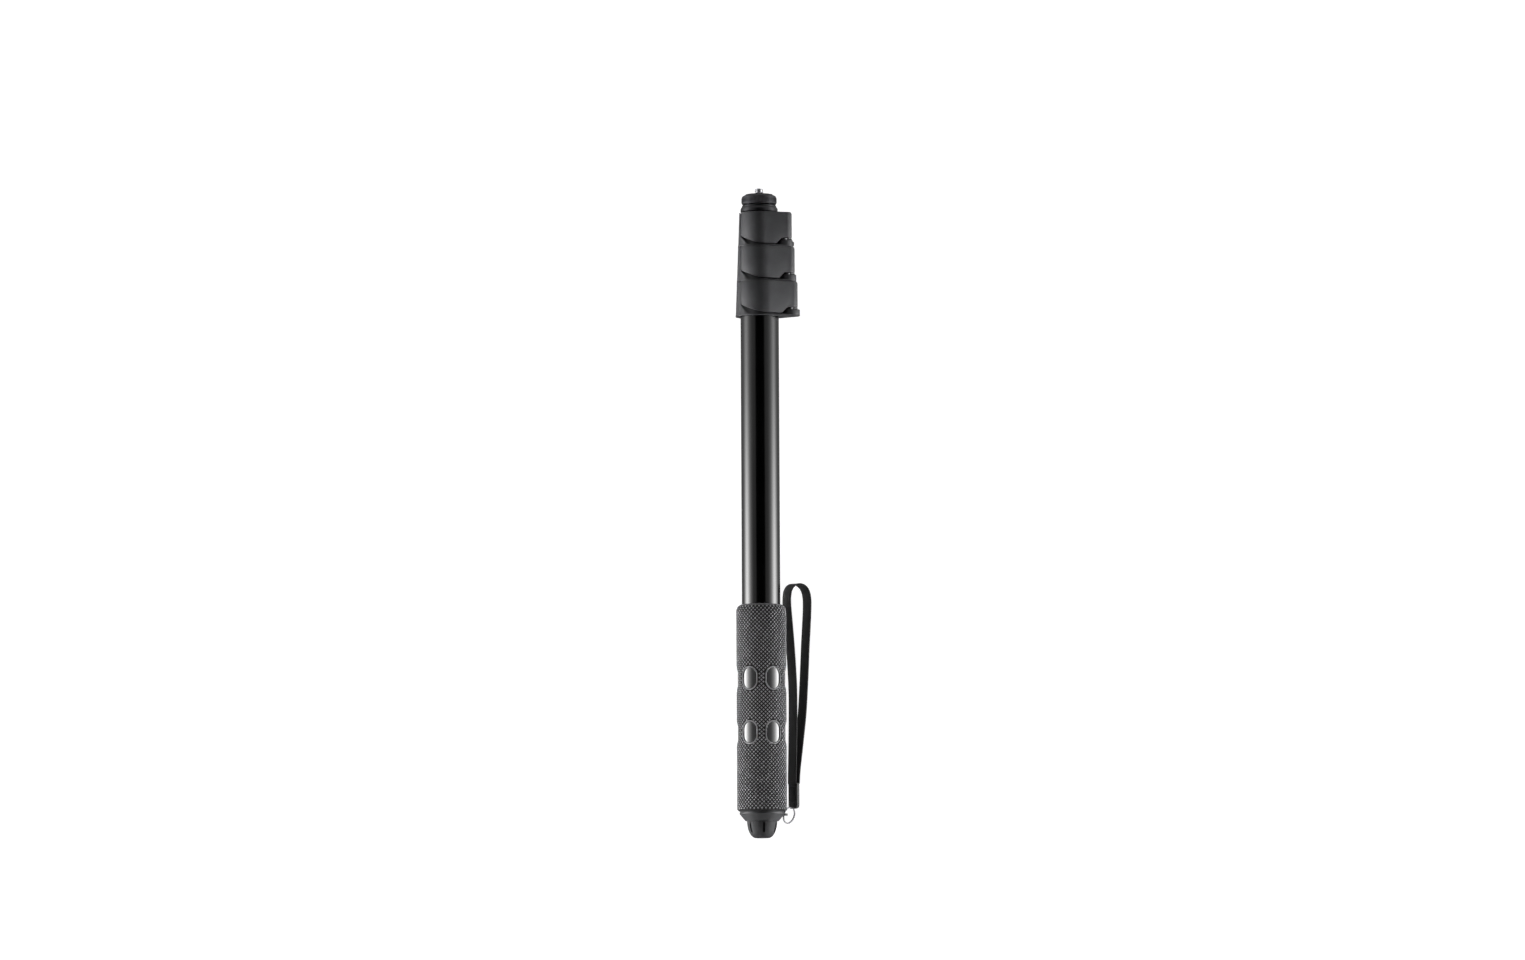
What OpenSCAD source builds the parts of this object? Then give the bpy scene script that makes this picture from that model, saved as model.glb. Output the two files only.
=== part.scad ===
// Four-section camera monopod with three flip locks, folded and lying on its side.
// The pole runs along +Y from the foot tip at the origin, +X is the side of the lock
// hinges and +Z faces up, away from the table. Pieces on the pole are drawn upright,
// with the pole along +Z and the front towards -Y, and are then laid down.

/* [Tubes] */
// Outside diameter of the main tube
main_tube_d = 28; // [26:0.5:32]
// Length of the main tube
main_tube_l = 373.5; // [340:0.5:400]
// Room between the end plug and the second tube's guide when folded
nest_floor = 8; // [3:1:60]
// Wall of every tube
tube_wall = 1.2; // [1:0.1:1.5]
// Radial room between one tube and the next
nest_gap = 0.8; // [0.6:0.1:1.2]
// Length of the guide sleeve on the lower end of an inner tube
guide_l = 24; // [12:1:30]
// Thickness of the guide's end flange
guide_flange = 2; // [1:0.5:3]

/* [Foot and end cap] */
// Height of the rubber foot
foot_h = 12.5; // [10:0.5:16]
// Diameter of the foot where it meets the cap
foot_d = 22; // [18:0.5:24]
// Diameter of the flat at the foot's tip
foot_tip_d = 9; // [6:0.5:14]
// Number of upright grooves round the foot
foot_grooves = 6; // [4:1:12]
// Width of a groove
groove_w = 1.5; // [0.6:0.1:1.6]
// Height of the end cap
cap_h = 7; // [6:0.5:10]
// Diameter of the cap at the foot
cap_low_d = 24.5; // [24:0.5:26]
// How far the cap's rim stands outside the main tube
cap_rim = 2.35; // [1.8:0.05:2.6]
// Depth of the main tube's seat in the cap
cap_socket = 3.5; // [2:0.5:4]
// Diameter of the stud that holds the foot
stud_d = 8; // [6:1:10]
// Length of the stud's shank
stud_l = 17; // [12:1:22]
// Length of the plug in the main tube
plug_l = 18; // [12:1:22]

/* [Grip] */
// Length of the grip sleeve
grip_l = 150.5; // [120:0.5:180]
// Thickness of the gloss core under the sleeve
core_wall = 2; // [1.5:0.1:3]
// Thickness of the rubber sleeve
sleeve_wall = 1.8; // [1.4:0.1:3]
// Height of the rounded shoulder at the grip's top
shoulder_h = 5.5; // [4:0.5:8]
// Thickness of the lip that closes the sleeve over the core
lip_h = 4; // [2:0.5:6]
// Round on the sleeve's lower edge
sleeve_round = 1.5; // [0.5:0.1:1.7]
// Number of windows round the grip in each row
window_count = 6; // [4:1:8]
// Width of a window
window_w = 11; // [6:0.5:11]
// Height of a window
window_h = 15.5; // [12:0.5:20]
// Height of the lower row of windows above the grip's lower end
window_low = 56.7; // [30:0.1:60]
// Distance between the two rows of windows
window_pitch = 39.4; // [25:0.1:60]
// How far the core's gloss pads lie below the sleeve's surface in the windows
window_pad_sink = 0.5; // [0.3:0.1:1]
// Room round a pad in its window
window_pad_room = 0.15; // [0.1:0.05:0.3]

/* [Locks] */
// Height of one lock
lock_h = 25.1; // [23:0.1:28]
// Gap between stacked locks
lock_gap = 0.4; // [0.3:0.1:1]
// Depth of the tube's seat in its collar
seat_h = 9; // [7:0.5:10]
// Wall of the lower collar outside the main tube
collar_wall = 3; // [2.6:0.1:4]
// Extra wall on each smaller collar
collar_wall_step = 1; // [0.5:0.1:1.5]
// Draft of the collar over half its height
collar_draft = 0.45; // [0:0.05:0.6]
// Wall of the clamping band under the lever
band_wall = 1.6; // [1.2:0.1:2]
// Thickness of the lever's skin
lever_t = 2.8; // [2:0.1:3.5]
// Running gap round the lever
lever_gap = 0.4; // [0.3:0.05:0.6]
// Reach of the lever to the left of the pole's axis
lever_reach = 13.3; // [11:0.1:13.5]
// Height of the lever's lower edge at its free end
lever_end_z = 7.8; // [6:0.1:10]
// Height of the lever's lowest edge
lever_belly_z = 1.8; // [1.5:0.1:3]
// Distance of the hinge pin outside the tube
pin_reach = 8.8; // [8.6:0.1:10]
// Distance of the hinge pin in front of the pole's axis
pin_front = 4; // [3:0.1:5]
// Diameter of the hinge pin
pin_d = 3; // [2:0.1:3.4]
// Radius of the lever's knuckle
knuckle_r = 5; // [4.8:0.1:5.5]
// Radius of the upper collar's lug round the pin
lug_r = 5.6; // [5.2:0.1:6]
// Extra radius of the lug on each larger collar
lug_step = 0.5; // [0:0.1:0.6]
// Height of the lug
lug_h = 4.6; // [3.6:0.1:5.2]
// Dark gap between lug and knuckle
notch_gap = 1.6; // [1:0.1:2]
// Thickness of the collar's bottom flange
base_flange = 0.9; // [0.6:0.1:1.2]
// Radius of the upper ear that holds the pin
ear_r = 3; // [2.6:0.1:3.2]
// Height of the upper ear
ear_h = 3.2; // [2:0.1:4]
// Thickness of the lever's cap over the ear
lever_cap = 1.6; // [1:0.1:2]
// Radius of the clamping cam
cam_r = 4.1; // [4:0.1:4.4]
// Offset of the cam from the pin
cam_offset = 0.5; // [0.3:0.1:0.6]
// Width of the pressure shoe
shoe_w = 6; // [4:0.5:7]
// Height of the pressure shoe
shoe_h = 7; // [5:0.5:7.5]
// Height of the wiper bush
bush_h = 4.5; // [3:0.5:6]
// Thickness of the wiper bush
bush_wall = 1.2; // [0.8:0.1:1.5]
// Diameter of the retaining screw
lock_screw_d = 2.4; // [2:0.1:2.6]
// Diameter of the retaining screw's head
lock_screw_head_d = 3.8; // [3.4:0.1:4]
// How far the upper lock's screw head stands proud
lock_screw_proud = 2; // [0.5:0.1:2.5]

/* [Head] */
// Height of the head flange
flange_h = 5.4; // [4.5:0.1:7]
// Diameter of the flange at its lower edge
flange_d = 27.2; // [26:0.2:30]
// Diameter of the flange at its upper edge
flange_top_d = 25; // [22:0.2:26]
// Depth of the top tube's seat in the flange
flange_socket = 2.5; // [2:0.1:3.5]
// Length of the flange's spigot inside the top tube
spigot_l = 16; // [10:1:24]
// Gap between flange and platform
head_gap = 0.6; // [0.4:0.1:1]
// Thickness of the thrust washer in that gap
washer_t = 0.5; // [0.3:0.05:0.5]
// Diameter of the thrust washer
washer_d = 18; // [12:0.5:20]
// Diameter of the platform disc
platform_d = 25.4; // [22:0.2:28]
// Height of the platform disc
platform_h = 6.5; // [5:0.1:8]
// Round on the platform's upper edge
platform_round = 2; // [1:0.1:2.2]
// Thickness of the rubber pad
pad_t = 0.8; // [0.5:0.1:1.5]
// Diameter of the rubber pad
pad_d = 20; // [16:0.5:20.5]
// Diameter of the camera screw, a quarter inch
screw_d = 6.35; // [6.35:0.01:9.53]
// Length of the camera screw above the pad
screw_l = 4.4; // [4:0.1:6]
// Diameter of the screw's plain shank below the pad
shank_d = 6; // [5:0.1:6.3]
// Outside diameter of the round nut under the flange
nut_d = 10.4; // [10:0.1:11.4]
// Height of the nut
nut_h = 4; // [3:0.5:6]

/* [Wrist strap] */
// Width of the webbing
strap_w = 8.5; // [6:0.5:10]
// Thickness of the webbing
strap_t = 1.2; // [0.8:0.1:1.4]
// Width of the sewn tab
tab_w = 9; // [8.5:0.1:9.2]
// Thickness of the sewn tab
tab_t = 3.2; // [3:0.1:3.4]
// Corner radius at the tab's lower end
tab_round = 2.5; // [1:0.1:4]
// Lean of the webbing from upright
strap_lean = 45; // [40:1:50]
// Middle diameter of the split ring
ring_d = 12; // [11:0.1:12.4]
// Diameter of the ring's wire
ring_wire_d = 1.2; // [0.8:0.1:1.3]
// Distance of the eyelet from the pole's axis
eyelet_r = 17.5; // [17.2:0.1:18]
// Angle of the eyelet below the right-hand side
eyelet_a = 25; // [20:1:30]
// Radius of the eyelet's hole
eyelet_hole_r = 2; // [1.9:0.05:2.3]
// Rim round the eyelet's hole
eyelet_rim = 0.8; // [0.6:0.1:1.2]
// Thickness of the eyelet
eyelet_t = 1.5; // [1:0.1:1.6]

/* [Hidden] */
$fn = 96;
// Clearances: running fit on a shaft, sliding fit, room round a shoe or nut
run_clear = 0.05;
slide_clear = 0.08;
shoe_clear = 0.1;
// Long enough to pass through anything
far = 80;
// Overshoot of a cut past the face that it opens
over = 1;

// Heights along the pole
cap_y = foot_h;
grip_y = cap_y + cap_h;
tube_y = grip_y - cap_socket;
lock_1_y = tube_y + main_tube_l - seat_h;
lock_pitch = lock_h + lock_gap;
flange_y = lock_1_y + 3 * lock_pitch;
washer_y = flange_y + flange_h;
platform_y = washer_y + head_gap;
pad_y = platform_y + platform_h;
screw_top = pad_y + pad_t + screw_l;

// Tube k counts from 1, the main tube, to 4, the top tube. Lock k clamps tube k + 1.
function tube_r(k) = main_tube_d / 2 - (k - 1) * (tube_wall + nest_gap);
function bore_r(k) = tube_r(k) - tube_wall;
function lock_y(k) = lock_1_y + (k - 1) * lock_pitch;
// The second, third and top tubes are cut to one length, which leaves that room when folded
inner_tube_l = lock_1_y + lock_pitch + seat_h - tube_y - plug_l - nest_floor - guide_flange;
function tube_top(k) = k == 4 ? flange_y + flange_socket : lock_y(k) + seat_h;
function tube_foot(k) = tube_top(k) - inner_tube_l;
function collar_r(k) = tube_r(k) + collar_wall + (k - 1) * collar_wall_step;
function band_r(k) = tube_r(k) + band_wall;
function lever_in_r(k) = band_r(k) + lever_gap;
function lever_out_r(k) = lever_in_r(k) + lever_t;
function pin_x(k) = tube_r(k) + pin_reach;
function pin_at(k) = [pin_x(k), -pin_front];
function lug_radius(k) = lug_r + (3 - k) * lug_step;

// Lock heights above the lock's own base
knuckle_z = lug_h + notch_gap;
ear_top = lock_h - lever_cap - lever_gap;
ear_low = ear_top - ear_h;
shoe_drop = 1.9;
shoe_z = ear_low - shoe_drop - shoe_h;
housing_wall = 1.2;
pin_sink = 0.6;
ear_neck_w = 4;
// Step on the lug behind the pin, which closes the dark gap from behind
stop_front = 0.5;
// Angle past the side to which the lever's skin wraps round the pin
wrap_a = 25;
// Lever outline, measured from the pin or the corners of its face
belly_back = 13;
notch_inner = 2.3;
notch_outer = 6.5;
belly_power = 2.2;
lever_left_round = 1;
lever_right_round = 1.5;
lever_low_round = 0.6;
recess_x = 8.5;
// Bottom flange stands out past the collar, and the lug's back flank runs into it
flange_lip = 0.15;
flank_bite = 0.5;
flank_sink = 0.02;
lock_screw_back = 3.2;
lock_screw_z = lug_h / 2;
lock_screw_seat = 3.2;
// Steps along a curve
curve_steps = 10;
corner_steps = 6;

function arc(c, r, a0, a1, n) =
    [for (i = [0:n]) let (a = a0 + (a1 - a0) * i / n) c + r * [cos(a), sin(a)]];

// Lays an upright piece down along +Y
module lay() {
    rotate([-90, 0, 0]) children();
}

// Places a piece of lock k on the pole
module on_lock(k) {
    lay() translate([0, 0, lock_y(k)]) children();
}

module ring(r_out, r_in, h) {
    difference() {
        cylinder(r = r_out, h = h);
        translate([0, 0, -over]) cylinder(r = r_in, h = h + 2 * over);
    }
}

// Foot

foot_r = foot_d / 2;
foot_tip_r = foot_tip_d / 2;
stud_r = stud_d / 2;
stud_head_r = 7;
stud_head_h = 2.5;
stud_head_y = foot_h - 4;
groove_low = 4;
groove_high = foot_h - 1.2;
groove_depth = 1.2;

function foot_rad(t) = foot_tip_r + (foot_r - foot_tip_r) * sqrt(1 - pow(1 - t, 2));

module stud_solid() {
    translate([0, 0, stud_head_y]) {
        cylinder(r = stud_head_r, h = stud_head_h);
        cylinder(r = stud_r, h = stud_head_h + stud_l);
    }
}

module foot() {
    side = [for (i = [0:curve_steps]) let (t = pow(i / curve_steps, 2)) [foot_rad(t), foot_h * t]];
    color("#222224") lay() difference() {
        rotate_extrude() polygon(concat([[0, 0]], side, [[0, foot_h]]));
        for (i = [0:foot_grooves - 1]) {
            rotate(i * 360 / foot_grooves - 90 + 180 / foot_grooves * 0.25)
                translate([foot_rad(groove_low / foot_h) - groove_depth, -groove_w / 2, groove_low])
                    cube([foot_r, groove_w, groove_high - groove_low]);
        }
        stud_solid();
    }
}

module foot_stud() {
    color("#9a9a9c") lay() stud_solid();
}

// End cap

cap_r = tube_r(1) + cap_rim;
cap_bevel = 0.45;
cap_wide_low = cap_h - 2;
cap_wide_high = cap_h - 1.4;
eyelet_y = cap_y + cap_h - 2.1;

module at_eyelet() {
    rotate(eyelet_a) translate([eyelet_r, 0, 0]) children();
}

module end_cap() {
    color("#3a3a3c") lay() difference() {
        union() {
            translate([0, 0, cap_y]) rotate_extrude() polygon([
                [0, 0],
                [cap_low_d / 2, 0],
                [cap_r, cap_wide_low],
                [cap_r, cap_wide_high],
                [cap_r - cap_bevel, cap_h],
                [0, cap_h]
            ]);
            at_eyelet() translate([0, 0, eyelet_y - eyelet_t / 2])
                cylinder(r = eyelet_hole_r + eyelet_rim, h = eyelet_t);
        }
        translate([0, 0, tube_y]) cylinder(r = tube_r(1), h = cap_h);
        at_eyelet() translate([0, 0, cap_y - over]) cylinder(r = eyelet_hole_r, h = cap_h + 2 * over);
        cylinder(r = stud_r + run_clear, h = tube_y + over);
    }
}

module cap_plug() {
    color("#2b2b2d") lay() translate([0, 0, tube_y]) ring(bore_r(1), stud_r + run_clear, plug_l);
}

// Grip

core_r = tube_r(1) + core_wall;
grip_r = core_r + sleeve_wall;

// One window, drawn as a slot with round ends, along the radius, with its edge drawn in by a margin
module window(margin) {
    straight = window_h - window_w;
    wide = window_w - 2 * margin;
    rotate([0, 90, 0]) linear_extrude(far) {
        square([straight, wide], center = true);
        for (s = [-1, 1]) translate([s * straight / 2, 0]) circle(d = wide);
    }
}

// Every window of the grip, in two rows
module windows(margin) {
    for (row = [0, 1], i = [0:window_count - 1]) {
        rotate(-90 + (i + 0.5) * 360 / window_count)
            translate([0, 0, window_low + row * window_pitch]) window(margin);
    }
}

// Core with a raised gloss pad in every window
module grip_core() {
    core_l = grip_l - lip_h;
    color("#0c0c0d") lay() translate([0, 0, grip_y]) {
        ring(core_r, tube_r(1), core_l);
        intersection() {
            ring(grip_r - window_pad_sink, core_r - core_wall / 2, core_l);
            windows(window_pad_room);
        }
    }
}

module grip_sleeve() {
    shoulder_w = grip_r - tube_r(1) - slide_clear;
    shoulder_y = grip_l - shoulder_h;
    shoulder = [for (i = [0:curve_steps]) let (a = 90 * i / curve_steps)
        [grip_r - shoulder_w * (1 - cos(a)), shoulder_y + shoulder_h * sin(a)]];
    low_round = arc([grip_r - sleeve_round, sleeve_round], sleeve_round, -90, 0, corner_steps);
    inside = [
        [grip_r - shoulder_w, grip_l - lip_h],
        [core_r, grip_l - lip_h],
        [core_r, 0]
    ];
    color("#4a4a4c") lay() translate([0, 0, grip_y]) difference() {
        rotate_extrude() polygon(concat(low_round, shoulder, inside));
        windows(0);
    }
}

// Tubes

module tube(k, low, l) {
    color("#101012") lay() translate([0, 0, low]) ring(tube_r(k), bore_r(k), l);
}

module main_tube() {
    tube(1, tube_y, main_tube_l);
}

module inner_tube(k) {
    tube(k, tube_foot(k), inner_tube_l);
}

// Nylon sleeve on the lower end of tube k, running in the tube outside it
module tube_guide(k) {
    color("#d8d6cf") lay() translate([0, 0, tube_foot(k) - guide_flange]) difference() {
        cylinder(r = bore_r(k - 1) - slide_clear, h = guide_l + guide_flange);
        translate([0, 0, guide_flange]) cylinder(r = tube_r(k), h = guide_l + over);
        translate([0, 0, -over]) cylinder(r = bore_r(k), h = guide_flange + 2 * over);
    }
}

// Locks

// Direction of the line that touches a circle r0 on the axis and r1 at c1, on one side
function touch_dir(r0, c1, r1, side) =
    let (a = atan2(c1[1], c1[0]) + side * acos((r0 - r1) / norm(c1))) [cos(a), sin(a)];

// Straight flank between those two circles, sunk a little so that its corners lie inside them
module flank(r0, c1, r1, side) {
    n = touch_dir(r0, c1, r1, side);
    polygon([[0, 0], (r0 - flank_sink) * n, c1 + (r1 - flank_sink) * n, c1]);
}

// Plan of the collar's round with its lug, with flanks on the sides that are listed
module tear(r0, c1, r1, sides) {
    circle(r0);
    translate(c1) circle(r1);
    for (s = sides) flank(r0, c1, r1, s);
}

// Part of the plan that the lever covers, from its free end round the front to the pin
module lever_zone(k) {
    end_a = asin(lever_reach / lever_out_r(k));
    polygon([
        [0, 0],
        far * [-sin(end_a), -cos(end_a)],
        [0, -2 * far],
        [2 * far, -far],
        pin_at(k) + far * [cos(wrap_a), sin(wrap_a)],
        pin_at(k)
    ]);
}

module lever_skin(k) {
    intersection() {
        difference() {
            tear(lever_out_r(k), pin_at(k), knuckle_r, [-1]);
            tear(lever_in_r(k), pin_at(k), ear_r + lever_gap, [-1]);
        }
        lever_zone(k);
    }
}

// Face of the lever as seen from the front, with its curved lower edge and hinge notch
module lever_face(k) {
    left = -lever_reach;
    right = pin_x(k) + knuckle_r;
    belly_x = pin_x(k) - belly_back;
    edge = [for (i = [0:curve_steps]) let (t = i / curve_steps)
        [belly_x + (left - belly_x) * t,
         lever_belly_z + (lever_end_z - lever_belly_z) * pow(t, belly_power)]];
    outline = concat(
        arc([left + lever_left_round, lock_h - lever_left_round], lever_left_round, 180, 90, corner_steps),
        arc([right - lever_right_round, lock_h - lever_right_round], lever_right_round, 90, 0, corner_steps),
        arc([right - lever_low_round, knuckle_z + lever_low_round], lever_low_round, 0, -90, corner_steps),
        [[pin_x(k) - notch_inner, knuckle_z], [pin_x(k) - notch_outer, lever_belly_z]],
        edge
    );
    rotate([90, 0, 0]) linear_extrude(2 * far, center = true) polygon(outline);
}

module lock_lever(k) {
    color("#3c3c3e") on_lock(k) difference() {
        intersection() {
            union() {
                linear_extrude(lock_h) lever_skin(k);
                translate([0, 0, knuckle_z]) linear_extrude(ear_low - lever_gap - knuckle_z)
                    translate(pin_at(k)) {
                        translate([-cam_offset, 0]) circle(cam_r);
                        circle(ear_r + 1.5 * lever_gap);
                    }
                translate([0, 0, ear_top + lever_gap]) linear_extrude(lever_cap)
                    translate(pin_at(k)) circle(knuckle_r);
            }
            lever_face(k);
        }
        translate(pin_at(k)) cylinder(r = pin_d / 2 + run_clear, h = ear_top + lever_gap);
    }
}

// Space in front of the collar that holds the lever and the finger recess below it
module front_space() {
    rotate([90, 0, 0]) linear_extrude(far) polygon([
        [-lever_reach - lever_gap, lock_h + over],
        [-lever_reach - lever_gap, lever_end_z - lever_gap],
        [-recess_x, base_flange],
        [far, base_flange],
        [far, lock_h + over]
    ]);
}

// Box round the pressure shoe, grown by a margin
module shoe_box(k, reach, margin) {
    translate([0, -pin_front - shoe_w / 2 - margin, shoe_z - margin])
        cube([reach, shoe_w + 2 * margin, shoe_h + 2 * margin]);
}

module at_lock_screw(k) {
    translate([pin_x(k), lock_screw_back - pin_front, lock_screw_z]) rotate([0, 90, 0]) children();
}

module lock_collar(k) {
    low_r = collar_r(k) + collar_draft;
    color("#38383a") on_lock(k) difference() {
        union() {
            difference() {
                cylinder(r1 = low_r, r2 = collar_r(k) - collar_draft, h = lock_h);
                front_space();
                translate(concat(pin_at(k), [lug_h])) cylinder(r = knuckle_r + lever_gap, h = lock_h);
            }
            cylinder(r = band_r(k), h = lock_h);
            linear_extrude(base_flange) tear(low_r + flange_lip, pin_at(k), lug_radius(k), [-1, 1]);
            linear_extrude(lug_h) {
                translate(pin_at(k)) circle(lug_radius(k));
                flank(low_r - flank_bite, pin_at(k), lug_radius(k), 1);
            }
            linear_extrude(knuckle_z - lever_gap) translate(pin_at(k)) intersection() {
                circle(knuckle_r);
                translate([-far, -stop_front]) square(2 * far);
            }
            shoe_box(k, pin_x(k) - knuckle_r - lever_gap, housing_wall);
            translate([0, 0, ear_low]) linear_extrude(ear_h) {
                translate(pin_at(k)) circle(ear_r);
                translate([0, -pin_front - ear_neck_w / 2]) square([pin_x(k), ear_neck_w]);
            }
        }
        translate([0, 0, -over]) cylinder(r = tube_r(k), h = seat_h + over);
        translate([0, 0, -over]) cylinder(r = tube_r(k + 1) + slide_clear, h = lock_h + 2 * over);
        translate([0, 0, lock_h - bush_h]) cylinder(r = tube_r(k + 1) + bush_wall, h = bush_h + over);
        shoe_box(k, pin_x(k), shoe_clear);
        translate(concat(pin_at(k), [pin_sink])) cylinder(d = pin_d, h = lock_h);
        at_lock_screw(k) translate([0, 0, -pin_x(k)]) cylinder(d = lock_screw_d, h = 2 * pin_x(k));
        at_lock_screw(k) translate([0, 0, lock_screw_seat]) cylinder(d = lock_screw_head_d, h = far);
    }
}

module lock_pin(k) {
    color("#a8a8aa") on_lock(k) translate(concat(pin_at(k), [pin_sink]))
        cylinder(d = pin_d, h = ear_top - pin_sink);
}

module lock_shoe(k) {
    color("#d8d6cf") on_lock(k) difference() {
        shoe_box(k, pin_x(k) - cam_r - cam_offset - shoe_clear, 0);
        cylinder(r = tube_r(k + 1) + slide_clear, h = lock_h);
    }
}

module lock_bush(k) {
    color("#d8d6cf") on_lock(k) translate([0, 0, lock_h - bush_h])
        ring(tube_r(k + 1) + bush_wall, tube_r(k + 1) + slide_clear, bush_h);
}

// Screw from the lug's end to the tube, with a round head
module lock_screw(k) {
    proud = k == 3 ? lock_screw_proud : 0;
    head_h = lug_radius(k) - 1 - lock_screw_seat + proud;
    head_r = lock_screw_head_d / 2;
    head_round = head_r * 0.6;
    shank_l = lock_screw_seat + pin_x(k) - tube_r(k) - slide_clear;
    color("#141415") on_lock(k) at_lock_screw(k) translate([0, 0, lock_screw_seat]) {
        rotate_extrude() polygon(concat(
            [[0, 0], [head_r, 0]],
            arc([head_r - head_round, head_h - head_round], head_round, 0, 90, corner_steps),
            [[0, head_h]]
        ));
        translate([0, 0, -shank_l]) cylinder(d = lock_screw_d, h = shank_l);
    }
}

// Head

screw_r = screw_d / 2;
shank_r = shank_d / 2;
fit_clear = 0.02;
nut_cavity_r = nut_d / 2 + 0.5;
nut_top = flange_y - 1;
nut_run = 0.3;
screw_foot = nut_top - nut_run - nut_h - 0.5;
flange_edge = 0.5;
// Round on the flange's lower band, up to where it meets the neck
flange_band = 2;
flange_round = 2.4;
flange_round_a = max(acos(min(1, (flange_top_d - flange_d) / 2 / flange_round + 1)), 5);

module head_flange() {
    band_x = flange_d / 2 - flange_round;
    color("#2e2e30") lay() difference() {
        union() {
            translate([0, 0, flange_y]) rotate_extrude() polygon(concat(
                [[0, 0], [flange_d / 2 - flange_edge, 0], [flange_d / 2, flange_edge]],
                arc([band_x, flange_band], flange_round, 0, flange_round_a, corner_steps),
                [
                    [flange_top_d / 2, flange_h - flange_edge],
                    [flange_top_d / 2 - flange_edge, flange_h],
                    [0, flange_h]
                ]
            ));
            translate([0, 0, flange_y - spigot_l]) cylinder(r = bore_r(4), h = spigot_l);
        }
        translate([0, 0, flange_y]) difference() {
            translate([0, 0, -over]) cylinder(r = tube_r(4), h = flange_socket + over);
            translate([0, 0, -2 * over]) cylinder(r = bore_r(4), h = flange_socket + 3 * over);
        }
        translate([0, 0, flange_y - spigot_l - over])
            cylinder(r = nut_cavity_r, h = nut_top - flange_y + spigot_l + over);
        translate([0, 0, flange_y - spigot_l]) cylinder(r = shank_r + run_clear, h = far);
    }
}

module thrust_washer() {
    color("#c9c7c0") lay() translate([0, 0, washer_y]) ring(washer_d / 2, shank_r + shoe_clear, washer_t);
}

module platform_disc() {
    platform_r = platform_d / 2;
    color("#343436") lay() translate([0, 0, platform_y]) difference() {
        rotate_extrude() polygon(concat(
            [[0, 0], [platform_r - flange_edge, 0], [platform_r, flange_edge]],
            arc([platform_r, platform_h] - platform_round * [1, 1], platform_round, 0, 90, corner_steps),
            [[0, platform_h]]
        ));
        translate([0, 0, -over]) cylinder(r = shank_r + fit_clear, h = platform_h + 2 * over);
    }
}

module platform_pad() {
    color("#1c1c1d") lay() translate([0, 0, pad_y]) ring(pad_d / 2, screw_r + shoe_clear, pad_t);
}

module camera_screw() {
    color("#c8c8ca") lay() {
        translate([0, 0, screw_foot]) cylinder(r = shank_r, h = screw_top - screw_foot);
        translate([0, 0, pad_y + pad_t]) cylinder(r = screw_r, h = screw_l);
    }
}

module screw_nut() {
    color("#9a9a9c") lay() translate([0, 0, nut_top - nut_run - nut_h])
        ring(nut_d / 2, shank_r + fit_clear, nut_h);
}

// Wrist strap, drawn where it lies on the table

ring_r = ring_d / 2;
wire_r = ring_wire_d / 2;
// Turn of the ring down towards the table, out from the pole, and along its own wire
ring_dip = 52;
ring_out = 20;
ring_slip = 10;
eyelet_at = [eyelet_r * cos(eyelet_a), eyelet_y, -eyelet_r * sin(eyelet_a)];
ring_across = [cos(ring_dip) * cos(ring_out), -cos(ring_dip) * sin(ring_out), -sin(ring_dip)];
ring_along = [sin(ring_out), cos(ring_out), 0];
ring_at = eyelet_at + ring_r * (cos(ring_slip) * ring_across + sin(ring_slip) * ring_along);

// Middle line of the webbing: out of the tab, up beside the grip, round and back
strap_route = [
    [22.0, 40, -13.2], [22.2, 50, -13.3], [22.5, 65, -13.7], [22.8, 85, -13.9],
    [22.9, 105, -13.9], [22.3, 122, -13.9], [21.2, 140, -13.9], [20.0, 156, -13.9],
    [19.0, 168, -13.9], [18.8, 175, -13.9], [19.6, 181, -13.9], [22.0, 184.6, -13.9],
    [25.6, 185.8, -13.9], [29.4, 184.6, -13.9], [32.2, 181, -13.9], [33.5, 175, -13.9],
    [33.5, 166, -13.9], [32.9, 154, -13.9], [32.1, 140, -13.9], [31.4, 124, -13.9],
    [30.6, 108, -13.9], [29.6, 92, -13.9], [28.2, 78, -13.9], [26.4, 62, -13.7],
    [25.0, 50, -13.3], [24.4, 40, -13.2]
];
strap_last = len(strap_route) - 1;
strap_steps = 2;
strap_edge = 0.3;
tab_low = 21.9;
tab_high = strap_route[0][1];
tab_at = (strap_route[0] + strap_route[strap_last]) / 2;
// Direction of the webbing's width
strap_up = [sin(strap_lean), 0, cos(strap_lean)];

function unit(v) = v / norm(v);
function route_at(i) = strap_route[min(max(i, 0), strap_last)];
// Smooth curve through the route's points
function route_curve(i, t) =
    let (a = route_at(i - 1), b = route_at(i), c = route_at(i + 1), d = route_at(i + 2))
    0.5 * (2 * b + (c - a) * t + (2 * a - 5 * b + 4 * c - d) * t * t + (3 * b - a - 3 * c + d) * t * t * t);

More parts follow.
